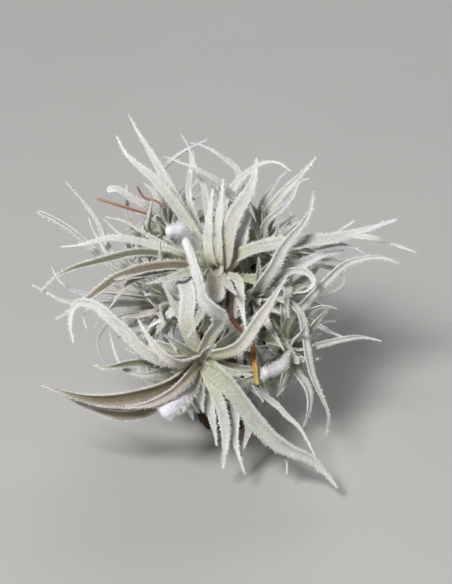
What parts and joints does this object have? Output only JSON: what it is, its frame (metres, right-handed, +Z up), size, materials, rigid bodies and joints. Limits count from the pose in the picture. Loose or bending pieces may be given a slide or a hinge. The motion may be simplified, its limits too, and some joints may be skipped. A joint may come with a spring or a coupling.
{
  "type": "air plant",
  "caption": "Chusgonensis air plant (Tillandsia chusgonensis), a dense clump of rosettes of narrow silvery channelled leaves on a short woody stem with a small flat foot.",
  "frame": {"origin": "centre of the stem's flat foot, on the surface that the plant rests on", "axes": "+Z up, -Y towards the front, from where the picture looks down on the plant, +X to the right as seen from the front"},
  "size_m": [0.0961, 0.0776, 0.078],
  "materials": {
    "leaf": "matte",
    "dry_orange": "matte",
    "dry_pink": "matte",
    "dry_gold": "matte",
    "dry_brown": "matte",
    "stem": "matte"
  },
  "bodies": {
    "root": {"rosette_crown": "leaf", "rosette_front": "leaf", "rosette_upper_right": "leaf", "rosette_right": "leaf", "rosette_lower_right": "leaf", "rosette_left": "leaf", "rosette_upper_left": "leaf", "rosette_back": "leaf", "rosette_back_right": "leaf", "rosette_back_left": "leaf", "rosette_low_left": "leaf", "rosette_low_right": "leaf", "dry_leaf_orange": "dry_orange", "dry_leaf_pink": "dry_pink", "dry_leaf_gold": "dry_gold", "dry_leaf_brown": "dry_brown", "stem": "stem"}
  },
  "joints": []
}
